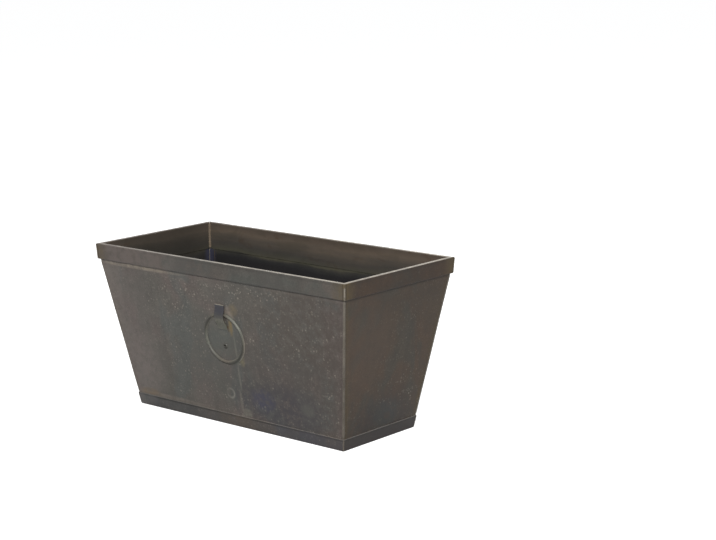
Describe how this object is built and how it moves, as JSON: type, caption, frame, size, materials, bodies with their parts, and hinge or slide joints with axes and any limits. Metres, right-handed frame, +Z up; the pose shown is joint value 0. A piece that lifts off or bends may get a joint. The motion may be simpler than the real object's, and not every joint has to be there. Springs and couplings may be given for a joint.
{
  "type": "versailles trough planter",
  "caption": "Tapered rectangular trough planter of folded sheet metal, with a mitred folded rim, a tray foot and a ring under a strap on each long wall.",
  "frame": {"origin": "on the ground, under the middle of the planter", "axes": "+Z up, +X along the long side; the front wall, as pictured, faces -Y"},
  "size_m": [0.5928, 0.2898, 0.3],
  "materials": {
    "wall_sheet": "aged grey-brown patina, matt to satin, mottled and finely speckled, edges rubbed bright, black coating inside",
    "rim_sheet": "aged grey-brown patina, satin, folds and flat top rubbed bright",
    "tray_sheet": "aged dark grey-brown patina, satin, top edge rubbed bright",
    "ring_metal": "aged grey-green patina, satin, ridge rubbed bright",
    "strap_metal": "aged blue-grey patina, satin",
    "rivet_metal": "aged patina, satin, rim rubbed bright"
  },
  "bodies": {
    "root": {"base_tray": "tray_sheet", "front_panel": "wall_sheet", "back_panel": "wall_sheet", "left_end_panel": "wall_sheet", "right_end_panel": "wall_sheet", "front_rim": "rim_sheet", "back_rim": "rim_sheet", "left_rim": "rim_sheet", "right_rim": "rim_sheet", "front_ring": "ring_metal", "back_ring": "ring_metal", "front_ring_strap": "strap_metal", "back_ring_strap": "strap_metal", "front_rivet": "rivet_metal", "back_rivet": "rivet_metal"}
  },
  "joints": []
}
